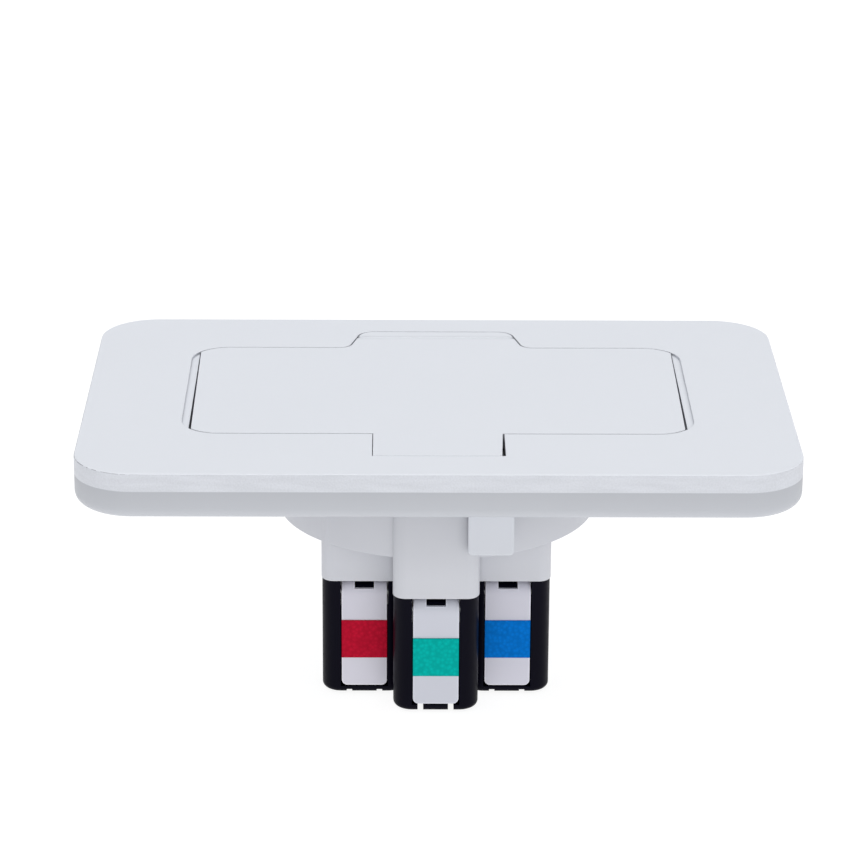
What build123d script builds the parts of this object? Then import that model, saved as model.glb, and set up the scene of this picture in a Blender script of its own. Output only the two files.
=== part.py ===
"""Flush desk outlet: a cover plate with a hinged lid over a three-pin socket, and three lever terminals underneath.

Millimetres. The origin is the centre of the frame's underside, the face that rests on the desk. +X runs along the
plate, +Y towards the lid's hinge and +Z up.
"""

import os

from build123d import *

os.makedirs("parts", exist_ok=True)

# Cover plate and base frame
PLATE_LENGTH, PLATE_WIDTH, PLATE_R = 120.0, 80.0, 10.0
FRAME_H = 4.9
COVER_T = 3.1
TOP = FRAME_H + COVER_T
FRAME_EDGE_R = 2.0
FRAME_WALL = 3.0
FLOOR_T = 2.0
# Round cut-out in the desk, and the shallow round step under the frame that clears its edge
CUT_OUT_R = 33.0
STEP_R, STEP_H = CUT_OUT_R + 0.4, 0.3

# Opening for the lid: a rounded rectangle, a square notch in front and a round-cornered tab behind
OPEN_X = 43.15
OPEN_FRONT, OPEN_BACK = -20.7, 24.2
OPEN_R = 6.5
OPEN_MID_Y = (OPEN_FRONT + OPEN_BACK) / 2
NOTCH_X, NOTCH_FRONT = 11.0, -31.2
TAB_ROOT_X, TAB_TIP_X, TAB_BACK = 15.6, 13.4, 33.15
TAB_ROOT_R, TAB_TIP_R = 2.2, 3.0
SEAT_IN, SEAT_OUT = 3.0, 2.0
SOFT_EDGE = 0.12
LEDGE_X, LEDGE_DEPTH = 41.9, 0.45

# Lid and its hinge line
LID_T = 2.6
LID_GAP = 0.25
LID_X_FRONT, LID_X_BACK = 41.4, 41.72
LID_BOTTOM = TOP - LID_T
LID_TAB_GAP = 0.1
LID_TAB_RIGHT_BACK, LID_TAB_RIGHT_FRONT = 10.75, 10.4
FOLD_Y = 29.7
FOLD_GAP = 1.0
RIB_H, RIB_T = 0.7, 1.2
RIB_SPREAD = 20.0
LEAF_PEG_X, LEAF_PEG_Y, LEAF_PEG_R = 8.0, 31.6, 1.2
LEAF_PEG_H = 1.9
BUMPER_L, BUMPER_W, BUMPER_T = 6.0, 2.0, 0.45

# Socket: round pins, earth set forward of the other two
SOCKET_Y = 1.5
PIN_X, EARTH_STEP = 9.5, 3.0
PIN_HOLE_R = 2.3
FACE_L, FACE_W, FACE_R, FACE_T = 52.0, 37.0, 5.0, 2.2
FACE_TOP = FLOOR_T + FACE_T
RECESS_HALF_L, RECESS_HALF_W = 18.0, 8.6
RECESS_SHOULDER_X, RECESS_END_Y = 12.0, 2.5
RECESS_DEPTH, RECESS_FLOOR_T, CUP_WALL = 8.4, 2.5, 1.6
RECESS_FLOOR = FACE_TOP - RECESS_DEPTH
CUP_BOTTOM = RECESS_FLOOR - RECESS_FLOOR_T

# Round housing with its pin well and three sleeves
HOUSING_R, HOUSING_WALL, HOUSING_H = 27.4, 2.0, 12.5
WELL_R, WELL_BOTTOM, CHAMBER_R = 4.0, -24.4, 3.0
SLEEVE_L, SLEEVE_W, SLEEVE_R, SLEEVE_WALL = 14.6, 9.0, 2.2, 1.5
SLEEVE_BOTTOM = -19.4
MOULDED_EDGE = 0.3

# Contacts and busbars
CLIP_R_IN, CLIP_R_OUT = 2.05, 2.5
CLIP_TOP, CLIP_BOTTOM = -7.0, -22.0
BAR_T, BAR_W, BAR_Z, EYE_R = 0.8, 4.4, -9.4, 4.0
TAIL_Y, TAIL_W, TAIL_BOTTOM = 6.3, 9.6, -35.0

# Terminal block; y is counted back from its front face
BLOCK_L, BLOCK_W, BLOCK_R = 14.4, 8.8, 3.2
BLOCK_BOTTOM = -40.0
FOOT_GAP_IN, FOOT_GAP_OUT = 2.1, 3.05
CHANNEL_X, CHANNEL_DEPTH, CHANNEL_BOTTOM = 4.05, 2.7, -38.85
CHAMBER_X, CHAMBER_FRONT, CHAMBER_BACK = 6.4, 3.1, 8.0
CHAMBER_BOTTOM, CHAMBER_TOP = -36.5, -20.5
WIRE_X, WIRE_Y, WIRE_R = 5.0, 4.7, 1.5
EAR_IN, EAR_OUT, EAR_H = 4.2, 5.6, 4.9
EAR_FRONT, EAR_BACK = 2.7, 5.9

# Lever, pivoted at its top
PIVOT_Y, PIVOT_Z = 2.4, -22.1
BARREL_R, LEVER_X, LEVER_T, LEVER_BOTTOM = 2.4, 3.875, 1.8, -38.6
LEVER_R, CAM_FLAT = 1.0, 1.7
NOTCH_HALF, NOTCH_DEPTH = 1.65, 1.2
HUB_R, HUB_GAP, HUB_NECK, HUB_FRONT, HUB_BACK = 1.75, 0.15, 0.8, 5.1, 5.7
PIN_R, PIN_HALF, PIN_RUNNING = 0.7, 5.4, 0.05
MARKER_TOP, MARKER_BOTTOM, MARKER_T = -26.5, -33.4, 0.15

# Screws: one countersunk size throughout
SCREW_R, SCREW_CLEAR_R, HEAD_R, HEAD_H, SCREW_L = 1.25, 1.6, 2.7, 1.3, 6.0
COVER_SCREWS = [(x, y) for x in (-52, 52) for y in (-32, 32)]
HOUSING_SCREWS = [(x, SOCKET_Y + y) for x in (-17.5, 17.5) for y in (-14.6, 14.6)]
FACE_SCREWS = [(-22.5, OPEN_MID_Y), (22.5, OPEN_MID_Y)]
BOSS_R = 2.8
DESK_SCREWS = [(-36, OPEN_MID_Y), (36, OPEN_MID_Y)]
DESK_HOLE_R, DESK_HEAD_R, DESK_BOSS_R, DESK_BOSS_TOP = 2.0, 3.6, 4.1, 3.4

# Snap tabs under the frame, one in front and its partner diagonally opposite
TAB_LEFT, TAB_RIGHT, TAB_FRONT, TAB_T, TAB_DROP, TAB_R = 4.96, 12.6, -29.0, 1.6, 10.6, 0.7

# Each pole: its pin contact's place, the middle of its terminal's front face, and the top of the slots in its feet
POLES = {
    "live": ((-PIN_X, SOCKET_Y), (-12.4, -18.9), -39.4),
    "neutral": ((PIN_X, SOCKET_Y), (12.05, -18.9), -39.4),
    "earth": ((0.0, SOCKET_Y - EARTH_STEP), (-0.25, -26.7), -38.55),
}
PINS = [pin for pin, _, _ in POLES.values()]


def finish(builder, name):
    """Label a finished piece and write it as one STEP file."""
    builder.part.label = name
    export_step(builder.part, f"parts/{name}.step")


def opening(inset=0.0, half_length=OPEN_X):
    """The lid opening's outline, moved inwards by inset and cut off at half_length."""
    with BuildSketch() as outline:
        with Locations((0, OPEN_MID_Y)):
            RectangleRounded(2 * OPEN_X, OPEN_BACK - OPEN_FRONT, OPEN_R)
        with Locations((0, (OPEN_MID_Y + NOTCH_FRONT) / 2)):
            Rectangle(2 * NOTCH_X, OPEN_MID_Y - NOTCH_FRONT)
        with BuildLine():
            Polyline(
                (-TAB_ROOT_X, OPEN_MID_Y),
                (-TAB_ROOT_X, OPEN_BACK),
                (-TAB_TIP_X, TAB_BACK),
                (TAB_TIP_X, TAB_BACK),
                (TAB_ROOT_X, OPEN_BACK),
                (TAB_ROOT_X, OPEN_MID_Y),
                close=True,
            )
        make_face()
        fillet(outline.vertices().filter_by(lambda v: v.Y > TAB_BACK - 0.1), TAB_TIP_R)
        fillet(
            outline.vertices().filter_by(
                lambda v: abs(abs(v.X) - TAB_ROOT_X) < 0.1 and abs(v.Y - OPEN_BACK) < 0.1
            ),
            TAB_ROOT_R,
        )
        if inset:
            offset(amount=-inset, kind=Kind.INTERSECTION)
        with Locations((0, 0)):
            Rectangle(2 * half_length, PLATE_WIDTH, mode=Mode.INTERSECT)
    return outline.sketch


def recess_outline(grow=0.0):
    """The plug recess: a long hexagon with blunt, rounded ends."""
    with BuildSketch() as outline:
        with Locations((0, SOCKET_Y)):
            Polygon(
                (-RECESS_HALF_L, -RECESS_END_Y),
                (-RECESS_SHOULDER_X, -RECESS_HALF_W),
                (RECESS_SHOULDER_X, -RECESS_HALF_W),
                (RECESS_HALF_L, -RECESS_END_Y),
                (RECESS_HALF_L, RECESS_END_Y),
                (RECESS_SHOULDER_X, RECESS_HALF_W),
                (-RECESS_SHOULDER_X, RECESS_HALF_W),
                (-RECESS_HALF_L, RECESS_END_Y),
                align=None,
            )
        fillet(outline.vertices(), 1.5)
        if grow:
            offset(amount=grow)
    return outline.sketch


def placed(sketch, z):
    """A flat outline lifted to height z."""
    return Pos(0, 0, z) * sketch


def screws(name, places, head_top, head_up):
    """Countersunk cross-head screws at places, their heads flush with head_top."""
    way = 1 if head_up else -1
    with BuildPart() as group:
        for x, y in places:
            axis_up = Plane(origin=(x, y, head_top), z_dir=(0, 0, -way))
            with BuildSketch(axis_up):
                Circle(HEAD_R)
            with BuildSketch(axis_up.offset(HEAD_H)):
                Circle(SCREW_R)
            loft()
            with BuildSketch(axis_up.offset(HEAD_H)):
                Circle(SCREW_R)
            extrude(amount=SCREW_L - HEAD_H)
            with BuildSketch(axis_up):
                Rectangle(3.2, 0.6)
                Rectangle(0.6, 3.2)
            extrude(amount=0.7, mode=Mode.SUBTRACT)
    finish(group, name)


def cover_plate():
    """The top slab, with bosses for the screws that come up through the frame."""
    with BuildPart() as cover:
        with BuildSketch(Plane.XY.offset(FRAME_H)):
            RectangleRounded(PLATE_LENGTH, PLATE_WIDTH, PLATE_R)
        extrude(amount=COVER_T)
        fillet(cover.faces().sort_by(Axis.Z)[-1].edges(), 0.3)
        extrude(placed(opening(half_length=LEDGE_X), FRAME_H), amount=COVER_T, mode=Mode.SUBTRACT)
        extrude(placed(opening(), TOP - LEDGE_DEPTH), amount=LEDGE_DEPTH, mode=Mode.SUBTRACT)
        rims = cover.faces().sort_by(Axis.Z)[-1].inner_wires()
        fillet(rims[0].edges(), SOFT_EDGE)
        with BuildSketch(Plane.XY.offset(FLOOR_T)):
            with Locations(*COVER_SCREWS):
                Circle(BOSS_R)
        extrude(amount=FRAME_H - FLOOR_T)
        with BuildSketch(Plane.XY.offset(FLOOR_T)):
            with Locations(*COVER_SCREWS):
                Circle(SCREW_R)
        extrude(amount=SCREW_L - FLOOR_T, mode=Mode.SUBTRACT)
    finish(cover, "cover_plate")


def base_frame():
    """The lower frame: a tray with an outer wall, a seat wall round the opening, bosses and snap tabs."""
    with BuildPart() as frame:
        with BuildSketch():
            RectangleRounded(PLATE_LENGTH, PLATE_WIDTH, PLATE_R)
        extrude(amount=FRAME_H)
        fillet(frame.faces().sort_by(Axis.Z)[0].edges(), FRAME_EDGE_R)
        with BuildSketch():
            with Locations((0, SOCKET_Y)):
                Circle(STEP_R)
        extrude(amount=STEP_H, mode=Mode.SUBTRACT)
        # the hollow between the outer wall and the seat wall
        with BuildSketch(Plane.XY.offset(FLOOR_T)):
            RectangleRounded(PLATE_LENGTH - 2 * FRAME_WALL, PLATE_WIDTH - 2 * FRAME_WALL, PLATE_R - FRAME_WALL)
            add(opening(-SEAT_OUT, OPEN_X + SEAT_OUT), mode=Mode.SUBTRACT)
        extrude(amount=FRAME_H - FLOOR_T, mode=Mode.SUBTRACT)
        # the well under the lid
        extrude(placed(opening(SEAT_IN), FLOOR_T), amount=FRAME_H - FLOOR_T, mode=Mode.SUBTRACT)
        # bosses: desk screws stand in the well, face screws hang below the floor
        with BuildSketch(Plane.XY.offset(FLOOR_T)):
            with Locations(*DESK_SCREWS):
                Circle(DESK_BOSS_R)
        extrude(amount=DESK_BOSS_TOP - FLOOR_T)
        with BuildSketch(Plane.XY.offset(STEP_H)):
            with Locations(*FACE_SCREWS):
                Circle(BOSS_R - 0.3)
        extrude(amount=-(SCREW_L - FACE_T + STEP_H))
        # the socket's cup goes down through the floor
        extrude(placed(recess_outline(CUP_WALL + 0.3), 0), amount=FLOOR_T, mode=Mode.SUBTRACT)
        with Locations(*[(x, y, DESK_BOSS_TOP) for x, y in DESK_SCREWS]):
            CounterSinkHole(DESK_HOLE_R, DESK_HEAD_R, depth=DESK_BOSS_TOP, counter_sink_angle=90)
        with Locations(*[(x, y, FLOOR_T) for x, y in HOUSING_SCREWS]):
            CounterSinkHole(SCREW_CLEAR_R, HEAD_R + 0.15, depth=FLOOR_T, counter_sink_angle=90)
        with BuildSketch(Plane.XY.offset(FLOOR_T)):
            with Locations(*FACE_SCREWS):
                Circle(SCREW_R)
        extrude(amount=-(SCREW_L - FACE_T + 1.0), mode=Mode.SUBTRACT)
        for x, y in COVER_SCREWS:
            with Locations(Plane(origin=(x, y, 0), z_dir=(0, 0, -1))):
                CounterSinkHole(SCREW_CLEAR_R, HEAD_R + 0.15, depth=FLOOR_T, counter_sink_angle=90)
        with BuildSketch(Plane.XY.offset(FRAME_H)):
            with Locations((-LEAF_PEG_X, LEAF_PEG_Y), (LEAF_PEG_X, LEAF_PEG_Y)):
                Circle(LEAF_PEG_R)
        extrude(amount=-LEAF_PEG_H - 0.1, mode=Mode.SUBTRACT)
        for turn in (0, 180):
            front = Plane(origin=(0, SOCKET_Y, 0)).rotated((0, 0, turn))
            side = Plane(
                origin=front.from_local_coords((0, TAB_FRONT - SOCKET_Y, 0)),
                x_dir=front.x_dir,
                z_dir=-front.y_dir,
            )
            with BuildSketch(side) as tab:
                with Locations(((TAB_LEFT + TAB_RIGHT) / 2, (1 - TAB_DROP) / 2)):
                    Rectangle(TAB_RIGHT - TAB_LEFT, TAB_DROP + 1)
                low = tab.vertices().group_by(Axis.Z)[0]
                fillet(low, TAB_R)
            extrude(amount=-TAB_T)
        tab_ends = frame.edges().filter_by(lambda e: e.center().Z < -TAB_DROP + 2 * TAB_R)
        fillet(tab_ends.filter_by(lambda e: abs(e.center().Y - SOCKET_Y) > SOCKET_Y - TAB_FRONT - 0.1), MOULDED_EDGE)
    finish(frame, "base_frame")


def lid():
    """The moving part of the lid, with ribs under it; it stops short of the fold line."""
    with BuildPart() as cover:
        with BuildSketch(Plane.XY.offset(LID_BOTTOM)):
            add(opening(LID_GAP, LID_X_BACK))
            with Locations((LID_TAB_GAP - NOTCH_X, NOTCH_FRONT + LID_TAB_GAP)):
                Rectangle(NOTCH_X, OPEN_FRONT - NOTCH_FRONT + 1.0, align=(Align.MIN, Align.MIN))
            with Locations((0, NOTCH_FRONT + LID_TAB_GAP)):
                Rectangle(LID_TAB_RIGHT_BACK, OPEN_FRONT - NOTCH_FRONT + 1.0, align=(Align.MIN, Align.MIN))
            with Locations((0, FOLD_Y - FOLD_GAP / 2)):
                Rectangle(PLATE_LENGTH, PLATE_WIDTH, align=(Align.CENTER, Align.MIN), mode=Mode.SUBTRACT)
            # both ends lean in a little towards the front
            for side in (-1, 1):
                with BuildLine():
                    Polyline(
                        (side * LID_X_FRONT, OPEN_FRONT),
                        (side * LID_X_BACK, OPEN_BACK - OPEN_R / 2),
                        (side * OPEN_X, OPEN_BACK - OPEN_R / 2),
                        (side * OPEN_X, OPEN_FRONT),
                        close=True,
                    )
                make_face(mode=Mode.SUBTRACT)
            # the front tab's right edge leans in a little, which leaves a wider gap there
            with BuildLine():
                Polyline(
                    (LID_TAB_RIGHT_BACK, OPEN_FRONT + LID_GAP),
                    (LID_TAB_RIGHT_FRONT, NOTCH_FRONT),
                    (NOTCH_X, NOTCH_FRONT),
                    (NOTCH_X, OPEN_FRONT + LID_GAP),
                    close=True,
                )
            make_face(mode=Mode.SUBTRACT)
        extrude(amount=LID_T)
        rim = cover.faces().sort_by(Axis.Z)[-1].edges()
        fillet(rim.filter_by(lambda e: e.center().Y < FOLD_Y - FOLD_GAP), SOFT_EDGE)
        rib_front, rib_back = OPEN_FRONT + SEAT_IN + 1, OPEN_BACK - SEAT_IN - 1
        with BuildSketch(Plane.XY.offset(LID_BOTTOM)):
            with Locations((0, OPEN_MID_Y)):
                RectangleRounded(2 * (LID_X_FRONT - SEAT_IN - 1.5), rib_back - rib_front, OPEN_R - SEAT_IN)
                RectangleRounded(
                    2 * (LID_X_FRONT - SEAT_IN - 1.5 - RIB_T),
                    rib_back - rib_front - 2 * RIB_T,
                    OPEN_R - SEAT_IN - RIB_T,
                    mode=Mode.SUBTRACT,
                )
                with Locations((-RIB_SPREAD, 0), (RIB_SPREAD, 0)):
                    Rectangle(RIB_T, rib_back - rib_front - RIB_T)
        extrude(amount=-RIB_H)
    finish(cover, "lid")


def lid_hinge_leaf():
    """The fixed strip of the lid moulding behind the fold, pegged to the frame."""
    with BuildPart() as leaf:
        with BuildSketch(Plane.XY.offset(FRAME_H)):
            add(opening(LID_GAP))
            with Locations((0, FOLD_Y + FOLD_GAP / 2)):
                Rectangle(PLATE_LENGTH, PLATE_WIDTH, align=(Align.CENTER, Align.MAX), mode=Mode.SUBTRACT)
        extrude(amount=COVER_T)
        rim = leaf.faces().sort_by(Axis.Z)[-1].edges()
        fillet(rim.filter_by(lambda e: e.center().Y > FOLD_Y + FOLD_GAP), SOFT_EDGE)
        with BuildSketch(Plane.XY.offset(FRAME_H)):
            with Locations((-LEAF_PEG_X, LEAF_PEG_Y), (LEAF_PEG_X, LEAF_PEG_Y)):
                Circle(LEAF_PEG_R)
        extrude(amount=-LEAF_PEG_H)
    finish(leaf, "lid_hinge_leaf")


def lid_bumpers():
    """Six rubber pads on the seat wall, under the lid's rim."""
    middle = SEAT_IN / 2 + 0.2
    rows = [(x, y) for x in (-28, 28) for y in (OPEN_FRONT + middle, OPEN_BACK - middle)]
    rows += [(x, NOTCH_FRONT + middle) for x in (-6, 6)]
    with BuildPart() as pads:
        with BuildSketch(Plane.XY.offset(FRAME_H)):
            with Locations(*rows):
                RectangleRounded(BUMPER_L, BUMPER_W, BUMPER_W / 2 - 0.05)
        extrude(amount=BUMPER_T)
    finish(pads, "lid_bumpers")


def socket_face():
    """The plate under the lid with the plug recess, its cup and the three pin holes."""
    with BuildPart() as face:
        with BuildSketch(Plane.XY.offset(FLOOR_T)):
            with Locations((0, OPEN_MID_Y)):
                RectangleRounded(FACE_L, FACE_W, FACE_R)
        extrude(amount=FACE_T)
        fillet(face.faces().sort_by(Axis.Z)[-1].edges(), 0.5)
        extrude(placed(recess_outline(CUP_WALL), CUP_BOTTOM), amount=FLOOR_T - CUP_BOTTOM)
        extrude(placed(recess_outline(), RECESS_FLOOR), amount=RECESS_DEPTH, mode=Mode.SUBTRACT)
        with BuildSketch(Plane.XY.offset(RECESS_FLOOR)):
            with Locations(*PINS):
                Circle(PIN_HOLE_R)
        extrude(amount=-RECESS_FLOOR_T, mode=Mode.SUBTRACT)
        with Locations(*[(x, y, FACE_TOP) for x, y in FACE_SCREWS]):
            CounterSinkHole(SCREW_CLEAR_R, HEAD_R + 0.15, depth=FACE_T, counter_sink_angle=90)
    finish(face, "socket_face")


def socket_housing():
    """The round cup under the frame, with a well for the plug's pins and a sleeve over each terminal."""
    floor_z = -HOUSING_H
    sleeves = [(x, y - 0.1 + SLEEVE_W / 2) for _, (x, y), _ in POLES.values()]
    with BuildPart() as housing:
        with BuildSketch(Plane.XY.offset(floor_z)):
            with Locations((0, SOCKET_Y)):
                Circle(HOUSING_R)
        extrude(amount=HOUSING_H + STEP_H)
        with BuildSketch(Plane.XY.offset(SLEEVE_BOTTOM)):
            with Locations(*sleeves):
                RectangleRounded(SLEEVE_L, SLEEVE_W, SLEEVE_R)
        extrude(amount=STEP_H - SLEEVE_BOTTOM)
        fillet(housing.faces().group_by(Axis.Z)[0].edges(), MOULDED_EDGE)
        with BuildSketch(Plane.XY.offset(WELL_BOTTOM)):
            with Locations(*PINS):
                Circle(WELL_R)
            make_hull()
        extrude(amount=floor_z - WELL_BOTTOM)
        # the cavity, the chambers round the pins and the passages down the sleeves
        with BuildSketch(Plane.XY.offset(floor_z + HOUSING_WALL)):
            with Locations((0, SOCKET_Y)):
                Circle(HOUSING_R - HOUSING_WALL)
        extrude(amount=HOUSING_H + STEP_H - HOUSING_WALL, mode=Mode.SUBTRACT)
        with BuildSketch(Plane.XY.offset(WELL_BOTTOM + 1.2)):
            with Locations(*PINS):
                Circle(CHAMBER_R)
        extrude(amount=floor_z + HOUSING_WALL - WELL_BOTTOM - 1.2, mode=Mode.SUBTRACT)
        with BuildSketch(Plane.XY.offset(SLEEVE_BOTTOM)):
            with Locations(*sleeves):
                RectangleRounded(SLEEVE_L - 2 * SLEEVE_WALL, SLEEVE_W - 2 * SLEEVE_WALL, SLEEVE_R - SLEEVE_WALL)
        extrude(amount=floor_z + HOUSING_WALL - SLEEVE_BOTTOM, mode=Mode.SUBTRACT)
        with BuildSketch(Plane.XY.offset(floor_z + HOUSING_WALL)):
            with Locations(*HOUSING_SCREWS):
                Circle(BOSS_R)
        extrude(amount=HOUSING_H + STEP_H - HOUSING_WALL)
        with BuildSketch(Plane.XY.offset(STEP_H)):
            with Locations(*HOUSING_SCREWS):
                Circle(SCREW_R)
        extrude(amount=-(SCREW_L - FLOOR_T + STEP_H + 1.0), mode=Mode.SUBTRACT)
    finish(housing, "socket_housing")


def contact(name, pin):
    """A slit tube that grips one plug pin."""
    with BuildPart() as clip:
        with BuildSketch(Plane.XY.offset(CLIP_BOTTOM)):
            with Locations(pin):
                Circle(CLIP_R_OUT)
                Circle(CLIP_R_IN, mode=Mode.SUBTRACT)
        extrude(amount=CLIP_TOP - CLIP_BOTTOM)
        with BuildSketch(Plane.XY.offset(CLIP_BOTTOM)):
            with Locations(pin):
                Rectangle(0.5, 2 * EYE_R)
        extrude(amount=BAR_Z - CLIP_BOTTOM - 2.0, mode=Mode.SUBTRACT)
    finish(clip, f"{name}_contact")


def busbar(name, pin, front):
    """A stamped strip from the contact's collar to the terminal, bent down into a wide tail."""
    tail = (front[0], front[1] + TAIL_Y)
    with BuildPart() as bar:
        with BuildSketch(Plane.XY.offset(BAR_Z)):
            with BuildLine():
                Polyline(
                    (pin[0] - BAR_W / 2, pin[1]),
                    (tail[0] - BAR_W / 2, tail[1] + BAR_T),
                    (tail[0] - BAR_W / 2, tail[1]),
                    (tail[0] + BAR_W / 2, tail[1]),
                    (tail[0] + BAR_W / 2, tail[1] + BAR_T),
                    (pin[0] + BAR_W / 2, pin[1]),
                    close=True,
                )
            make_face()
            with Locations(pin):
                Circle(EYE_R)
                Circle(CLIP_R_OUT, mode=Mode.SUBTRACT)
        extrude(amount=BAR_T)
        back_face = Plane(origin=(tail[0], tail[1], 0), x_dir=(1, 0, 0), z_dir=(0, -1, 0))
        with BuildSketch(back_face):
            with Locations((0, (BAR_Z + BAR_T + SLEEVE_BOTTOM) / 2)):
                Rectangle(BAR_W, BAR_Z + BAR_T - SLEEVE_BOTTOM)
            with Locations((0, (-HOUSING_H - 1.0 + TAIL_BOTTOM) / 2)):
                Rectangle(TAIL_W, -HOUSING_H - 1.0 - TAIL_BOTTOM)
        extrude(amount=-BAR_T)
    finish(bar, f"{name}_busbar")


def terminal(name, front, foot_top):
    """The black block: lever channel in front, clamp chamber inside, two wire holes in its feet."""
    x, y = front
    corner = Plane(origin=(x, y, 0), x_dir=(1, 0, 0), z_dir=(0, -1, 0))
    side_view = Plane(origin=(x, y, 0), x_dir=(0, 1, 0), z_dir=(1, 0, 0))
    middle = y + BLOCK_W / 2
    with BuildPart() as block:
        with BuildSketch(Plane.XY.offset(BLOCK_BOTTOM)):
            with Locations((x, middle)):
                RectangleRounded(BLOCK_L, BLOCK_W, BLOCK_R)
        extrude(amount=SLEEVE_BOTTOM - BLOCK_BOTTOM)
        fillet(block.faces().sort_by(Axis.Z)[0].edges(), 1.0)
        # ears that plug up into the sleeve
        with BuildSketch(Plane.XY.offset(SLEEVE_BOTTOM)):
            for side in (-1, 1):
                with Locations((x + side * (EAR_IN + EAR_OUT) / 2, y + (EAR_FRONT + EAR_BACK) / 2)):
                    Rectangle(EAR_OUT - EAR_IN, EAR_BACK - EAR_FRONT)
        extrude(amount=EAR_H)
        # clamp chamber, and the slot that the busbar's tail comes down through
        with BuildSketch(Plane.XY.offset(CHAMBER_BOTTOM)):
            with Locations((x, y + (CHAMBER_FRONT + CHAMBER_BACK) / 2)):
                RectangleRounded(2 * CHAMBER_X, CHAMBER_BACK - CHAMBER_FRONT, 0.8)
        extrude(amount=CHAMBER_TOP - CHAMBER_BOTTOM, mode=Mode.SUBTRACT)
        with BuildSketch(Plane.XY.offset(CHAMBER_TOP)):
            with Locations((x, y + TAIL_Y + BAR_T / 2)):
                Rectangle(TAIL_W + 0.4, BAR_T + 0.4)
        extrude(amount=SLEEVE_BOTTOM - CHAMBER_TOP, mode=Mode.SUBTRACT)
        # lever channel and the hollow round the lever's barrel
        with BuildSketch(corner):
            with Locations((0, (CHANNEL_BOTTOM + SLEEVE_BOTTOM) / 2)):
                Rectangle(2 * CHANNEL_X, SLEEVE_BOTTOM - CHANNEL_BOTTOM)
        extrude(amount=-CHANNEL_DEPTH, mode=Mode.SUBTRACT)
        with BuildSketch(corner):
            with Locations((0, (PIVOT_Z - BARREL_R - 0.4 + SLEEVE_BOTTOM) / 2)):
                Rectangle(2 * CHANNEL_X, SLEEVE_BOTTOM - PIVOT_Z + BARREL_R + 0.4)
        extrude(amount=-(PIVOT_Y + BARREL_R + 0.3), mode=Mode.SUBTRACT)
        # the slots between the feet, wire holes and pin hole
        with BuildSketch(corner):
            for side in (-1, 1):
                with Locations((side * (FOOT_GAP_IN + FOOT_GAP_OUT) / 2, (foot_top + BLOCK_BOTTOM) / 2)):
                    Rectangle(FOOT_GAP_OUT - FOOT_GAP_IN, foot_top - BLOCK_BOTTOM)
        extrude(amount=-BLOCK_W, mode=Mode.SUBTRACT)
        with BuildSketch(Plane.XY.offset(BLOCK_BOTTOM)):
            with Locations((x - WIRE_X, y + WIRE_Y), (x + WIRE_X, y + WIRE_Y)):
                Circle(WIRE_R)
        extrude(amount=CHAMBER_BOTTOM - BLOCK_BOTTOM, mode=Mode.SUBTRACT)
        # the hub between the lever's ears, on a neck that hangs from the chamber's roof
        with BuildSketch(side_view):
            with Locations((PIVOT_Y, PIVOT_Z)):
                Circle(HUB_R)
                Rectangle(HUB_BACK - PIVOT_Y, 2 * HUB_NECK, align=(Align.MIN, Align.CENTER))
            with Locations((HUB_FRONT, PIVOT_Z - HUB_NECK)):
                Rectangle(HUB_BACK - HUB_FRONT, CHAMBER_TOP + 0.5 - PIVOT_Z + HUB_NECK, align=Align.MIN)
        extrude(amount=NOTCH_HALF - HUB_GAP, both=True)
        with BuildSketch(side_view):
            with Locations((PIVOT_Y, PIVOT_Z)):
                Circle(PIN_R)
        extrude(amount=PIN_HALF, both=True, mode=Mode.SUBTRACT)
    finish(block, f"{name}_terminal")


def lever(name, front):
    """The white lever: two ears on the pin, either side of the hub, and a flat arm with a colour marker."""
    x, y = front
    side_view = Plane(origin=(x, y, 0), x_dir=(0, 1, 0), z_dir=(1, 0, 0))
    front_view = Plane(origin=(x, y, 0), x_dir=(1, 0, 0), z_dir=(0, -1, 0))
    with BuildPart() as arm:
        with BuildSketch(side_view):
            with Locations((PIVOT_Y, PIVOT_Z)):
                Circle(BARREL_R)
                with Locations((CAM_FLAT, 0)):
                    Rectangle(BARREL_R, 2 * BARREL_R, align=(Align.MIN, Align.CENTER), mode=Mode.SUBTRACT)
            with Locations((0, LEVER_BOTTOM)):
                Rectangle(LEVER_T, PIVOT_Z - LEVER_BOTTOM, align=(Align.MIN, Align.MIN))
            with Locations((PIVOT_Y, PIVOT_Z)):
                Circle(PIN_R + PIN_RUNNING, mode=Mode.SUBTRACT)
        extrude(amount=LEVER_X, both=True)
        low = arm.edges().filter_by(Axis.Y).group_by(Axis.Z)[0]
        fillet(low, LEVER_R)
        # the room between the ears, round the block's hub, open on top and behind
        with BuildSketch(side_view):
            with Locations((PIVOT_Y, PIVOT_Z)):
                Circle(HUB_R + HUB_GAP)
            with Locations((0, PIVOT_Z + BARREL_R - NOTCH_DEPTH)):
                Rectangle(2 * BARREL_R, 2 * NOTCH_DEPTH, align=Align.MIN)
            with Locations((PIVOT_Y - HUB_NECK, PIVOT_Z)):
                Rectangle(2 * BARREL_R, 2 * BARREL_R + 0.4, align=(Align.MIN, Align.CENTER))
        extrude(amount=NOTCH_HALF, both=True, mode=Mode.SUBTRACT)
        front_face = arm.faces().sort_by(Axis.Y)[0]
        fillet(front_face.edges().filter_by(lambda e: e.center().Z < PIVOT_Z - 0.1), SOFT_EDGE)
    finish(arm, f"{name}_lever")

    with BuildPart() as marker:
        with BuildSketch(front_view):
            with Locations((0, (MARKER_TOP + MARKER_BOTTOM) / 2)):
                Rectangle(2 * LEVER_X, MARKER_TOP - MARKER_BOTTOM)
        extrude(amount=MARKER_T)
    finish(marker, f"{name}_marker")

    with BuildPart() as pin:
        with BuildSketch(Plane(origin=(x, y + PIVOT_Y, PIVOT_Z), z_dir=(1, 0, 0))):
            Circle(PIN_R)
        extrude(amount=PIN_HALF, both=True)
    finish(pin, f"{name}_lever_pin")


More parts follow.
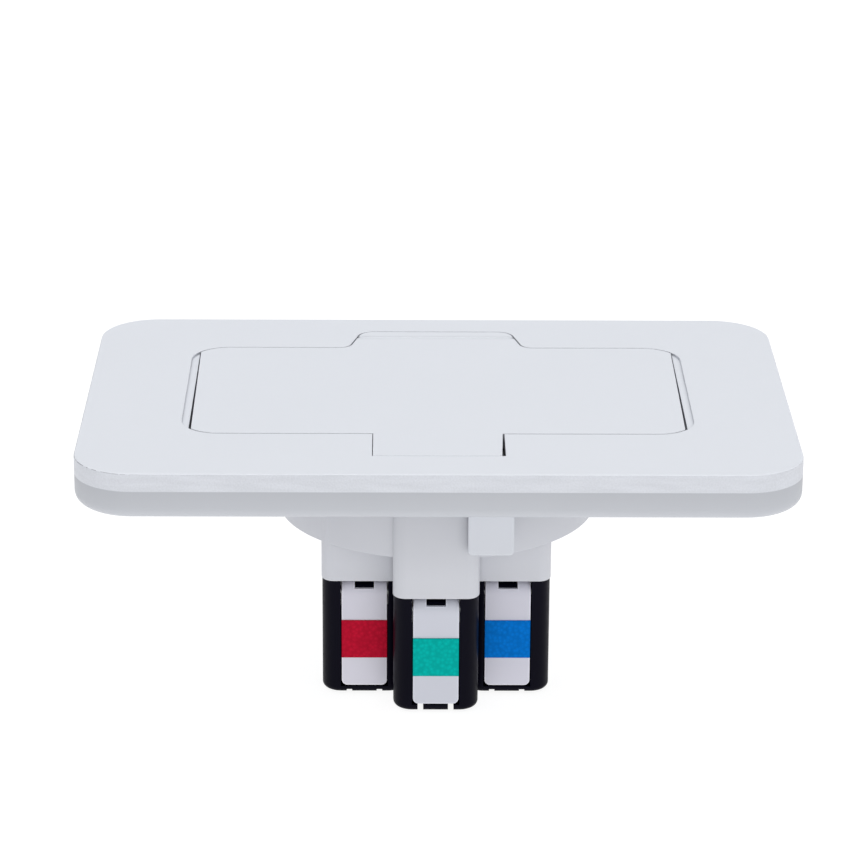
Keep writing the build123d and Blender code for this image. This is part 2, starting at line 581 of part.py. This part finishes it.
def clamp_spring(name, front):
    """A bent leaf spring behind the lever's ears, with a window for the hub's neck and a leg over each wire hole."""
    x, y = front
    side_view = Plane(origin=(x, y, 0), x_dir=(0, 1, 0), z_dir=(1, 0, 0))
    with BuildPart() as spring:
        with BuildSketch(side_view):
            with BuildLine() as path:
                FilletPolyline((5.9, -21.0), (3.8, -26.0), (3.6, -31.0), (5.8, -34.0), radius=1.5)
            trace(path.line, line_width=0.4)
        extrude(amount=6.1, both=True)
        with BuildSketch(Plane(origin=(x, y, 0), x_dir=(1, 0, 0), z_dir=(0, -1, 0))):
            with Locations((0, -32.5)):
                Rectangle(2 * 3.9, 11.0)
            with Locations((0, -22.5)):
                Rectangle(2 * 2.1, 4.4)
        extrude(amount=-BLOCK_W, mode=Mode.SUBTRACT)
    finish(spring, f"{name}_clamp_spring")


cover_plate()
base_frame()
lid()
lid_hinge_leaf()
lid_bumpers()
socket_face()
socket_housing()
screws("cover_screws", COVER_SCREWS, 0.0, head_up=False)
screws("housing_screws", HOUSING_SCREWS, FLOOR_T, head_up=True)
screws("face_screws", FACE_SCREWS, FACE_TOP, head_up=True)
for pole, (pin_place, terminal_front, foot_slot_top) in POLES.items():
    contact(pole, pin_place)
    busbar(pole, pin_place, terminal_front)
    terminal(pole, terminal_front, foot_slot_top)
    lever(pole, terminal_front)
    clamp_spring(pole, terminal_front)
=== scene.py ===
"""The look of the flush desk outlet: camera, studio, materials and the moulded web across the lid's fold."""

import math

import bmesh
import bpy
from mathutils import Matrix, Vector


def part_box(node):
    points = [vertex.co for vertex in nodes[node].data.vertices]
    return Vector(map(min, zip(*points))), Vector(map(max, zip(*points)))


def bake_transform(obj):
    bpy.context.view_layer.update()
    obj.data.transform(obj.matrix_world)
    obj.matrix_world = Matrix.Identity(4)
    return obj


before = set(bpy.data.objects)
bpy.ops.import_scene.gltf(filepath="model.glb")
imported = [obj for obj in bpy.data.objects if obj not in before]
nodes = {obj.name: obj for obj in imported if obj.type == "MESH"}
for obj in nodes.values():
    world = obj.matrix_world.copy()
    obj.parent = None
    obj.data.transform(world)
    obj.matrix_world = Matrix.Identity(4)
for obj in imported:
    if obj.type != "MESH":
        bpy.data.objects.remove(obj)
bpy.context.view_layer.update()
MM = 0.001
PLATE_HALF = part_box("cover_plate")[1].x
LID_BACK, LEAF_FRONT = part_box("lid")[1].y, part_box("lid_hinge_leaf")[0].y
FOLD_Y = (LID_BACK + LEAF_FRONT) / 2
FOLD_HALF = max(v.co.x for v in nodes["lid_hinge_leaf"].data.vertices if v.co.y < LEAF_FRONT + 0.05 * MM)

# ---------------------------------------------------------------- camera

CAMERA_AT = Vector((-0.0069, -0.5903, 0.2163))
CAMERA_PITCH = math.radians(20.09)
CAMERA_YAW = math.radians(0.62)
CAMERA_ROLL = math.radians(0.35)
CAMERA_LENS, SENSOR_WIDTH = 150.8, 36.0


def add_camera():
    data = bpy.data.cameras.new("camera")
    data.lens = CAMERA_LENS
    data.sensor_width = SENSOR_WIDTH
    camera = bpy.data.objects.new("camera", data)
    camera.matrix_world = (
        Matrix.Translation(CAMERA_AT)
        @ Matrix.Rotation(-CAMERA_YAW, 4, "Z")
        @ Matrix.Rotation(math.pi / 2 - CAMERA_PITCH, 4, "X")
        @ Matrix.Rotation(CAMERA_ROLL, 4, "Z")
    )
    bpy.context.scene.collection.objects.link(camera)
    bpy.context.scene.camera = camera


# ---------------------------------------------------------------- studio

FLOOR_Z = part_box("earth_terminal")[0].z - 0.2 * MM
FLOOR_SIZE = 6.0
FLOOR_GREY, FLOOR_GLOW = 0.22, 0.90
SKY_COLOUR = (0.985, 0.99, 1.0, 1.0)
# The pale wall along the horizon is white up to the first height and has faded out at the second.
WALL_WHITE, WALL_END = 0.12, 0.2
LIGHT_AIM = Vector((0, 0, -0.01))
# name, place, size, watts
LIGHTS = [
    ("top_softbox", (0.0, 0.1, 0.9), (1.2, 1.0), 3.3),
    ("front_softbox", (0.3, -0.9, 0.18), (0.9, 0.5), 1.6),
]


def add_area(name, at, size, power):
    data = bpy.data.lights.new(name, "AREA")
    data.shape = "RECTANGLE"
    data.size, data.size_y = size
    data.energy = power
    light = bpy.data.objects.new(name, data)
    light.location = at
    light.rotation_euler = (LIGHT_AIM - Vector(at)).to_track_quat("-Z", "Y").to_euler()
    bpy.context.scene.collection.objects.link(light)


def add_sky():
    """Soft room light: bright overhead, dimmer lower down, and a pale wall along the horizon."""
    world = bpy.data.worlds.new("studio")
    world.use_nodes = True
    tree = world.node_tree
    background = tree.nodes["Background"]
    background.inputs["Color"].default_value = SKY_COLOUR
    direction = tree.nodes.new("ShaderNodeTexCoord")
    split = tree.nodes.new("ShaderNodeSeparateXYZ")
    wall = tree.nodes.new("ShaderNodeMapRange")
    wall.inputs["From Min"].default_value = WALL_WHITE
    wall.inputs["From Max"].default_value = WALL_END
    wall.inputs["To Min"].default_value = 1.0
    wall.inputs["To Max"].default_value = 0.0
    brighter = tree.nodes.new("ShaderNodeMath")
    brighter.operation = "MAXIMUM"
    tree.links.new(direction.outputs["Generated"], split.inputs["Vector"])
    tree.links.new(split.outputs["Z"], wall.inputs["Value"])
    tree.links.new(split.outputs["Z"], brighter.inputs[0])
    tree.links.new(wall.outputs["Result"], brighter.inputs[1])
    tree.links.new(brighter.outputs["Value"], background.inputs["Strength"])
    bpy.context.scene.world = world


def add_floor():
    """A plain pale table, lit from within like a light table, so that it stays near white."""
    bpy.ops.mesh.primitive_plane_add(size=FLOOR_SIZE, location=(0, 0, FLOOR_Z))
    floor = bpy.context.object
    floor.name = "floor"
    paint = bpy.data.materials.new("floor")
    paint.use_nodes = True
    shader = paint.node_tree.nodes["Principled BSDF"]
    shader.inputs["Base Color"].default_value = (FLOOR_GREY, FLOOR_GREY, FLOOR_GREY, 1)
    shader.inputs["Roughness"].default_value = 0.9
    shader.inputs["Specular IOR Level"].default_value = 0.1
    shader.inputs["Emission Color"].default_value = (1, 1, 1, 1)
    shader.inputs["Emission Strength"].default_value = FLOOR_GLOW
    floor.data.materials.append(paint)


def add_studio():
    bpy.context.scene.view_settings.view_transform = "Standard"
    add_sky()
    add_floor()
    for name, at, size, power in LIGHTS:
        add_area(name, at, size, power)


# ---------------------------------------------------------------- materials

# Most of a noise's values lie between these, and the sandy grain's own ends are a little closer.
NOISE_MIDDLE, SAND_MIDDLE = (0.3, 0.7), (0.35, 0.65)

# Painted shade in crevices, gaps and inner corners: its strength, the open share of the surroundings where it
# starts and is full, and its brightness against the surface's own colour; the slab's chips are painted that
# same dark.
CREVICE_SHADE_STRENGTH = 0.3
CREVICE_STARTS, CREVICE_FULL = 0.92, 0.35
PLASTIC_CREVICE_SHADE, SLAB_SHADE_AND_CHIPS = 0.1, 0.12

# How deep the bump patterns are.
GRAIN_DEPTH, PEBBLE_DEPTH, BRUSHED_DEPTH = 0.05 * MM, 0.08 * MM, 0.02 * MM


def shade(colour, factor):
    return tuple(min(1.0, c * factor) for c in colour)


class Nodes:
    """A material's node tree, built one node at a time."""

    def __init__(self, name):
        self.material = bpy.data.materials.new(name)
        self.material.use_nodes = True
        self.tree = self.material.node_tree
        self.shader = self.tree.nodes["Principled BSDF"]
        coordinates = self.add("ShaderNodeTexCoord")
        self.place = coordinates.outputs["Object"]
        self.facing = coordinates.outputs["Normal"]

    def add(self, kind, **settings):
        node = self.tree.nodes.new(kind)
        for key, value in settings.items():
            setattr(node, key, value)
        return node

    def link(self, output, socket):
        self.tree.links.new(output, socket)

    def set(self, **values):
        """Plain numbers on the shader's own sockets, named with underscores for spaces."""
        for key, value in values.items():
            self.shader.inputs[key.replace("_", " ")].default_value = value

    def put(self, socket, output):
        self.link(output, self.shader.inputs[socket])

    def noise(self, scale, detail=2.0, stretch=(1, 1, 1)):
        mapping = self.add("ShaderNodeMapping")
        mapping.inputs["Scale"].default_value = stretch
        self.link(self.place, mapping.inputs["Vector"])
        texture = self.add("ShaderNodeTexNoise")
        texture.inputs["Scale"].default_value = scale
        texture.inputs["Detail"].default_value = detail
        self.link(mapping.outputs["Vector"], texture.inputs["Vector"])
        return texture.outputs["Fac"]

    def cells(self, scale):
        texture = self.add("ShaderNodeTexVoronoi")
        texture.inputs["Scale"].default_value = scale
        self.link(self.place, texture.inputs["Vector"])
        return texture.outputs["Distance"]

    def span(self, value, low, high, start=0.0, end=1.0):
        """A value that runs from low to high, as the given one goes from start to end."""
        node = self.add("ShaderNodeMapRange")
        node.inputs["From Min"].default_value = start
        node.inputs["From Max"].default_value = end
        node.inputs["To Min"].default_value = low
        node.inputs["To Max"].default_value = high
        self.link(value, node.inputs["Value"])
        return node.outputs["Result"]

    def maths(self, operation, a, b=0.0):
        node = self.add("ShaderNodeMath", operation=operation)
        for socket, value in zip(node.inputs, (a, b)):
            if isinstance(value, float):
                socket.default_value = value
            else:
                self.link(value, socket)
        return node.outputs["Value"]

    def product(self, first, *others):
        for other in others:
            first = self.maths("MULTIPLY", first, other)
        return first

    def axis(self, vector, name):
        node = self.add("ShaderNodeSeparateXYZ")
        self.link(vector, node.inputs["Vector"])
        return node.outputs[name]

    def blend(self, factor, low, high):
        """A colour between low and high by factor. Each may be an output or a plain value."""
        node = self.add("ShaderNodeMix", data_type="RGBA")
        for socket, value in (("Factor", factor), ("A", low), ("B", high)):
            if isinstance(value, float):
                node.inputs[socket].default_value = value
            elif isinstance(value, tuple):
                node.inputs[socket].default_value = (*value, 1)
            else:
                self.link(value, node.inputs[socket])
        return node.outputs["Result"]

    def scaled(self, colour, factor):
        """A colour multiplied by a number."""
        node = self.add("ShaderNodeVectorMath", operation="SCALE")
        self.link(colour, node.inputs["Vector"])
        self.link(factor, node.inputs["Scale"])
        return node.outputs["Vector"]

    def uneven_tone(self, pattern, colour, dark, light):
        """The colour at a brightness that drifts between dark and light."""
        return self.blend(pattern, shade(colour, dark), shade(colour, light))

    def uneven_gloss(self, pattern, low, high):
        """Roughness that drifts between low and high."""
        self.put("Roughness", self.span(pattern, low, high, *NOISE_MIDDLE))

    def bump(self, height, strength, distance, normal=None):
        node = self.add("ShaderNodeBump")
        node.inputs["Strength"].default_value = strength
        node.inputs["Distance"].default_value = distance
        self.link(height, node.inputs["Height"])
        if normal:
            self.link(normal, node.inputs["Normal"])
        return node.outputs["Normal"]

    def painted_crevice_shade(self, reach):
        """How much painted shade sits at a point, from how much of its surroundings within reach is hidden.
        """
        surroundings = self.add("ShaderNodeAmbientOcclusion", samples=8)
        surroundings.inputs["Distance"].default_value = reach
        return self.span(surroundings.outputs["AO"], CREVICE_SHADE_STRENGTH, 0.0, CREVICE_FULL, CREVICE_STARTS)

    def edges(self, radius, start=0.02, end=0.25):
        """1 along the edges, from how far a rounded normal turns from the true one."""
        rounded = self.add("ShaderNodeBevel", samples=6)
        rounded.inputs["Radius"].default_value = radius
        true = self.add("ShaderNodeNewGeometry")
        dot = self.add("ShaderNodeVectorMath", operation="DOT_PRODUCT")
        self.link(rounded.outputs["Normal"], dot.inputs[0])
        self.link(true.outputs["Normal"], dot.inputs[1])
        return self.span(self.maths("SUBTRACT", 1.0, dot.outputs["Value"]), 0.0, 1.0, start, end)


def plastic(
    name, colour, roughness, mottle=0.02, wear_and_highlight=1.05, rim=0.3 * MM, specular=0.5, shade_reach=0, painted_shading=()
):
    """Moulded plastic: a fine grain, slightly uneven tone and gloss, and lighter edges, partly wear and
    partly painted highlight.

    mottle is how far the tone drifts, the edge brightness is partly wear and partly painted highlight, rim
    its width, and the crevice reach how far painted shade in gaps reaches. Each painted light and shade by
    height is (low z, high z, brightness at low z, brightness at high z).
    """
    made = Nodes(name)
    clouds, scuffs = made.noise(70.0, 4.0), made.noise(500.0, 3.0)
    smears, grain = made.noise(900.0, 3.0), made.noise(2500.0)
    # Edges painted lighter in patches: partly wear, partly a painted highlight where edges catch the light.
    rubbed_and_lit = made.product(made.edges(rim, 0.005, 0.12), made.span(scuffs, 0.5, 1.0))
    tone = made.uneven_tone(clouds, colour, 1 - mottle, 1 + mottle)
    tone = made.blend(rubbed_and_lit, tone, shade(colour, wear_and_highlight))
    # Painted light and shade: brightness that changes with height.
    for low_z, high_z, at_low, at_high in painted_shading:
        height = made.axis(made.place, "Z")
        tone = made.scaled(tone, made.span(height, at_low, at_high, low_z, high_z))
    # Painted shade in gaps and inner corners, darker where more of the surroundings is hidden.
    if shade_reach:
        tone = made.blend(made.painted_crevice_shade(shade_reach), tone, shade(colour, PLASTIC_CREVICE_SHADE))
    made.put("Base Color", tone)
    made.uneven_gloss(smears, roughness - 0.06, roughness + 0.06)
    made.put("Normal", made.bump(grain, 0.05, GRAIN_DEPTH))
    made.set(Specular_IOR_Level=specular)
    return made


# The painted shade along the fold: where it is full and where it has faded, across it and in from its ends.
FOLD_FULL, FOLD_FADED = 0.3 * MM, 1.6 * MM
FOLD_END_FULL, FOLD_END_FADED, FOLD_STOP = 1 * MM, 4 * MM, 0.2 * MM
# The chips, along X from the plate's left end.
CHIPS_FULL, CHIPS_GONE = 1.5 * MM, 13 * MM


def fold_painted_shade(made):
    """A soft band of painted shade along the lid's fold, 1 at both ends of it and fainter between them."""
    from_fold = made.maths("ABSOLUTE", made.maths("SUBTRACT", made.axis(made.place, "Y"), FOLD_Y))
    band = made.span(from_fold, 1.0, 0.0, FOLD_FULL, FOLD_FADED)
    from_middle = made.maths("ABSOLUTE", made.axis(made.place, "X"))
    ends = made.span(from_middle, 0.6, 1.0, FOLD_HALF - FOLD_END_FADED, FOLD_HALF - FOLD_END_FULL)
    inside = made.span(from_middle, 1.0, 0.0, FOLD_HALF - FOLD_STOP, FOLD_HALF)
    patchy = made.span(made.noise(300.0, 3.0), 0.75, 1.0)
    return made.product(band, patchy, ends, inside)


def chipped_rim(made, upright):
    """1 in the chips along the rounded rim between top and side, at the plate's left end only."""
    rim = made.product(upright, made.span(upright, 3.0, 0.0))
    x = made.axis(made.place, "X")
    left_end = made.span(x, 1.0, 0.0, CHIPS_FULL - PLATE_HALF, CHIPS_GONE - PLATE_HALF)
    chips = made.span(made.noise(900.0), 0.0, 1.0, 0.40, 0.48)
    return made.product(rim, left_end, chips)


def painted_slab(name, top, side):
    """The plate and lid: a smooth top, sandy cut sides, and painted shade in the gaps and along the fold."""
    made = Nodes(name)
    clouds, streaks = made.noise(45.0, 3.0), made.noise(420.0, 5.0, (0.35, 1, 2.5))
    smears, specks, grain = made.noise(700.0, 3.0), made.noise(3200.0, 3.0), made.noise(3000.0)
    level = made.maths("ABSOLUTE", made.axis(made.facing, "Z"))
    upright = made.span(level, 1.0, 0.0, 0.35, 0.75)
    sandy = made.maths("ADD", *[made.span(part, 0.0, 0.5, *SAND_MIDDLE) for part in (streaks, specks)])
    top_tone = made.uneven_tone(clouds, top, 0.992, 1.008)
    side_tone = made.uneven_tone(sandy, side, 0.93, 1.06)
    painted = made.blend(upright, top_tone, side_tone)
    # Painted shade along the lid's fold.
    fold_shaded = made.scaled(painted, made.span(fold_painted_shade(made), 1.0, 0.92))
    # Painted shade in the gaps between plate and lid; the chips below share its dark colour.
    crevice_shaded = made.blend(made.painted_crevice_shade(0.8 * MM), fold_shaded, shade(side, SLAB_SHADE_AND_CHIPS))
    made.put("Base Color", made.blend(chipped_rim(made, upright), crevice_shaded, shade(side, SLAB_SHADE_AND_CHIPS)))
    made.uneven_gloss(smears, 0.46, 0.58)
    fine = made.bump(grain, 0.04, GRAIN_DEPTH)
    made.put("Normal", made.bump(made.product(upright, specks), 0.5, GRAIN_DEPTH, fine))
    return made


def printed_film(name, colour):
    """A colour marker: film with a pebbled surface carrying painted highlight and shade, darker towards its
    rim.
    """
    made = Nodes(name)
    pebbles, clouds = made.cells(1500.0), made.noise(250.0, 3.0)
    # Painted highlight and shade on the pebbles: lighter at each pebble's middle, darker between them.
    pebble_light_and_shade = made.uneven_tone(made.span(pebbles, 0.0, 1.0, 0.1, 0.7), colour, 1.22, 0.74)
    tone = made.blend(0.5, pebble_light_and_shade, made.uneven_tone(clouds, colour, 0.90, 1.10))
    made.put("Base Color", made.blend(made.edges(0.35 * MM), tone, shade(colour, 0.7)))
    made.put("Roughness", made.span(pebbles, 0.55, 0.72))
    made.put("Normal", made.bump(pebbles, 0.6, PEBBLE_DEPTH))
    made.set(Specular_IOR_Level=0.04)
    return made


def metal(name, colour, roughness, stretch):
    """Rolled or plated metal: fine lines one way, uneven gloss, duller in patches."""
    made = Nodes(name)
    clouds, lines = made.noise(180.0, 4.0), made.noise(1200.0, 4.0, stretch)
    made.put("Base Color", made.uneven_tone(clouds, colour, 0.86, 1.06))
    made.uneven_gloss(lines, roughness - 0.08, roughness + 0.12)
    made.put("Normal", made.bump(lines, 0.25, BRUSHED_DEPTH))
    made.set(Metallic=1.0)
    return made


def use(made, *names):
    for name in names:
        slots = nodes[name].data.materials
        if not slots:
            slots.append(made.material)
        for i in range(len(slots)):
            slots[i] = made.material


SLAB_TOP, SLAB_SIDE = (0.775, 0.80, 0.85), (0.655, 0.674, 0.722)
FRAME_WHITE = (0.616, 0.635, 0.681)
HOUSING_WHITE = (0.611, 0.621, 0.664)
SOCKET_WHITE = (0.74, 0.75, 0.77)
TERMINAL_BLACK = (0.0020, 0.0017, 0.0068)
RUBBER = (0.03, 0.03, 0.035)
BRASS, SPRING_STEEL, ZINC = (0.78, 0.57, 0.25), (0.60, 0.60, 0.61), (0.68, 0.69, 0.70)
MARKERS = {"live": (0.50, 0.006, 0.03), "neutral": (0.0, 0.17, 0.62), "earth": (0.0, 0.425, 0.38)}
LEVER_WHITES = {"live": (0.649, 0.638, 0.716), "neutral": (0.627, 0.622, 0.704), "earth": (0.587, 0.60, 0.67)}

# Painted light and shade by height: darker up under the plate, lighter down towards the glowing floor.
# Each is (low z, high z, brightness at low z, brightness at high z).
FRAME_PAINTED_SHADING = ((0.0, 4.9 * MM, 0.86, 0.76), (-1.5 * MM, 0.0, 1.20, 1.0))
SIDE_LEVER_PAINTED_SHADING = ((-37 * MM, -27 * MM, 1.05, 1.0),)
HOUSING_PAINTED_SHADING = ((-16 * MM, -2 * MM, 1.0, 0.82),)

# Metal lines run along the axis whose stretch is small.
ALONG_X, ALONG_Z, NO_LINES = (0.08, 1, 1), (1, 1, 0.08), (1, 1, 1)


def each_pole(*parts):
    return [f"{pole}_{part}" for pole in MARKERS for part in parts]


def add_levers():
    for pole, white in LEVER_WHITES.items():
        painted_shading = () if pole == "earth" else SIDE_LEVER_PAINTED_SHADING
        name = f"lever_white_{pole}"
        # Lever edges painted much lighter, mostly a painted highlight with a little wear; side levers also
        # painted lighter towards the bottom.
        lever = plastic(name, white, 0.4, mottle=0.035, wear_and_highlight=1.5, rim=0.5 * MM, painted_shading=painted_shading)
        use(lever, f"{pole}_lever")
        use(printed_film(f"marker_{pole}", MARKERS[pole]), f"{pole}_marker")


def add_plastics():
    # The frame: edges painted a little lighter, painted darker up under the plate and lighter on its tab
    # below.
    use(plastic("frame_white", FRAME_WHITE, 0.5, wear_and_highlight=1.08, painted_shading=FRAME_PAINTED_SHADING), "base_frame")
    # The housing: edges painted lighter, painted shade in its inner corners, and painted darker up towards
    # the plate.
    marks = {"mottle": 0.03, "wear_and_highlight": 1.12, "shade_reach": 0.9 * MM, "painted_shading": HOUSING_PAINTED_SHADING}
    use(plastic("housing_white", HOUSING_WHITE, 0.45, **marks), "socket_housing")
    use(plastic("socket_white", SOCKET_WHITE, 0.35), "socket_face")
    # The terminals' edges painted much lighter: mostly a painted highlight on their rounded corners.
    black = plastic("terminal_black", TERMINAL_BLACK, 0.4, mottle=0.3, wear_and_highlight=1.6, specular=0.06)
    use(black, *each_pole("terminal"))
    use(plastic("pad_rubber", RUBBER, 0.8, mottle=0.15, wear_and_highlight=1.3, specular=0.3), "lid_bumpers")


def add_metals():
    use(metal("contact_brass", BRASS, 0.28, ALONG_Z), *each_pole("contact", "busbar"))
    use(metal("spring_steel", SPRING_STEEL, 0.3, ALONG_X), *each_pole("clamp_spring"))
    zinc = metal("screw_steel", ZINC, 0.34, NO_LINES)
    use(zinc, "cover_screws", "housing_screws", "face_screws", *each_pole("lever_pin"))


# ---------------------------------------------------------------- the lid's fold

WEB_ROWS, WEB_COLUMNS = 16, 60
WEB_THICKNESS, WEB_SINK = 0.45 * MM, 0.01 * MM
WEB_DIP, WEB_END_DIP, WEB_END = 0.14 * MM, 0.2 * MM, 2.2 * MM


def web_faces(mesh, top):
    """Fills mesh with a closed strip over the fold: a shallow groove, deeper towards both ends."""
    upper, lower = [], []
    for i in range(WEB_ROWS + 1):
        across = i / WEB_ROWS
        y = LID_BACK + (LEAF_FRONT - LID_BACK) * across
        for j in range(WEB_COLUMNS + 1):
            x = FOLD_HALF * (2 * j / WEB_COLUMNS - 1)
            near_end = max(0.0, 1 - (FOLD_HALF - abs(x)) / WEB_END) ** 2
            dip = (WEB_DIP + WEB_END_DIP * near_end) * math.sin(math.pi * across) ** 2
            z = top - WEB_SINK - dip
            upper.append(mesh.verts.new((x, y, z)))
            lower.append(mesh.verts.new((x, y, z - WEB_THICKNESS)))
    stride = WEB_COLUMNS + 1
    for i in range(WEB_ROWS):
        for j in range(WEB_COLUMNS):
            a, b = i * stride + j, i * stride + j + 1
            c, d = b + stride, a + stride
            mesh.faces.new([upper[k] for k in (a, b, c, d)])
            mesh.faces.new([lower[k] for k in (d, c, b, a)])
    rim = list(range(WEB_COLUMNS))
    rim += [i * stride + WEB_COLUMNS for i in range(WEB_ROWS)]
    rim += [WEB_ROWS * stride + j for j in range(WEB_COLUMNS, 0, -1)]
    rim += [i * stride for i in range(WEB_ROWS, 0, -1)]
    for a, b in zip(rim, rim[1:] + rim[:1]):
        mesh.faces.new((upper[b], upper[a], lower[a], lower[b]))
    mesh.normal_update()


def add_web(finish):
    """The thin moulded web that joins the lid to its fixed strip."""
    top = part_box("lid")[1].z
    mesh = bmesh.new()
    web_faces(mesh, top)
    data = bpy.data.meshes.new("lid_web")
    mesh.to_mesh(data)
    mesh.free()
    for polygon in data.polygons:
        polygon.use_smooth = abs(polygon.normal.z) > 0.5
    web = bpy.data.objects.new("lid_web", data)
    bpy.context.scene.collection.objects.link(web)
    data.materials.append(finish.material)
    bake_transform(web)


add_camera()
add_studio()
slab = painted_slab("cover_white", SLAB_TOP, SLAB_SIDE)
use(slab, "cover_plate", "lid", "lid_hinge_leaf")
add_plastics()
add_levers()
add_metals()
add_web(slab)
